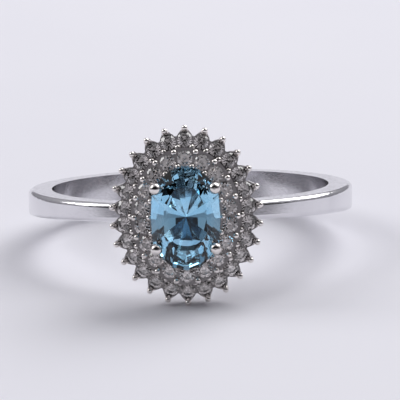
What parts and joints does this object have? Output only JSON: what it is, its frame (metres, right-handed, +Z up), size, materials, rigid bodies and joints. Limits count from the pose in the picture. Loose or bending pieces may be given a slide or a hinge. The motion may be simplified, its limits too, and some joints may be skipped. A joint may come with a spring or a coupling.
{
  "type": "cocktail ring",
  "caption": "Oval-cut pale blue stone in four claws, inside a double halo of small round stones, on a plain tapered shank.",
  "frame": {"origin": "centre of the plan box, on the surface the ring lies on", "axes": "+Z up from the surface; the face of the centre stone looks toward -Y and a little up; +X to the right of a viewer facing the stone"},
  "size_m": [0.0202, 0.0242, 0.0104],
  "materials": {
    "topaz": "polished facets",
    "white_stone": "polished facets",
    "shank_silver": "rhodium-plated silver, polished",
    "head_silver": "rhodium-plated silver, polished",
    "grain_silver": "rhodium-plated silver, burnished tips"
  },
  "bodies": {
    "root": {"basket_lower_rail": "head_silver", "basket_upper_rail": "head_silver", "centre_stone": "topaz", "claw_back_left": "grain_silver", "claw_back_right": "grain_silver", "claw_front_left": "grain_silver", "claw_front_right": "grain_silver", "gallery_posts": "head_silver", "inner_halo_inner_beads": "grain_silver", "inner_halo_outer_beads": "grain_silver", "inner_halo_plate": "head_silver", "inner_halo_stone_01": "white_stone", "inner_halo_stone_02": "white_stone", "inner_halo_stone_03": "white_stone", "inner_halo_stone_04": "white_stone", "inner_halo_stone_05": "white_stone", "inner_halo_stone_06": "white_stone", "inner_halo_stone_07": "white_stone", "inner_halo_stone_08": "white_stone", "inner_halo_stone_09": "white_stone", "inner_halo_stone_10": "white_stone", "inner_halo_stone_11": "white_stone", "inner_halo_stone_12": "white_stone", "inner_halo_stone_13": "white_stone", "inner_halo_stone_14": "white_stone", "inner_halo_stone_15": "white_stone", "inner_halo_stone_16": "white_stone", "inner_halo_stone_17": "white_stone", "inner_halo_stone_18": "white_stone", "outer_halo_beads": "grain_silver", "outer_halo_plate": "head_silver", "outer_halo_stone_01": "white_stone", "outer_halo_stone_02": "white_stone", "outer_halo_stone_03": "white_stone", "outer_halo_stone_04": "white_stone", "outer_halo_stone_05": "white_stone", "outer_halo_stone_06": "white_stone", "outer_halo_stone_07": "white_stone", "outer_halo_stone_08": "white_stone", "outer_halo_stone_09": "white_stone", "outer_halo_stone_10": "white_stone", "outer_halo_stone_11": "white_stone", "outer_halo_stone_12": "white_stone", "outer_halo_stone_13": "white_stone", "outer_halo_stone_14": "white_stone", "outer_halo_stone_15": "white_stone", "outer_halo_stone_16": "white_stone", "outer_halo_stone_17": "white_stone", "outer_halo_stone_18": "white_stone", "outer_halo_stone_19": "white_stone", "outer_halo_stone_20": "white_stone", "outer_halo_stone_21": "white_stone", "outer_halo_stone_22": "white_stone", "outer_halo_stone_23": "white_stone", "outer_halo_stone_24": "white_stone", "outer_halo_stone_25": "white_stone", "outer_halo_stone_26": "white_stone", "outer_tip_prongs": "grain_silver", "shank": "shank_silver", "under_gallery_rail": "head_silver"}
  },
  "joints": []
}
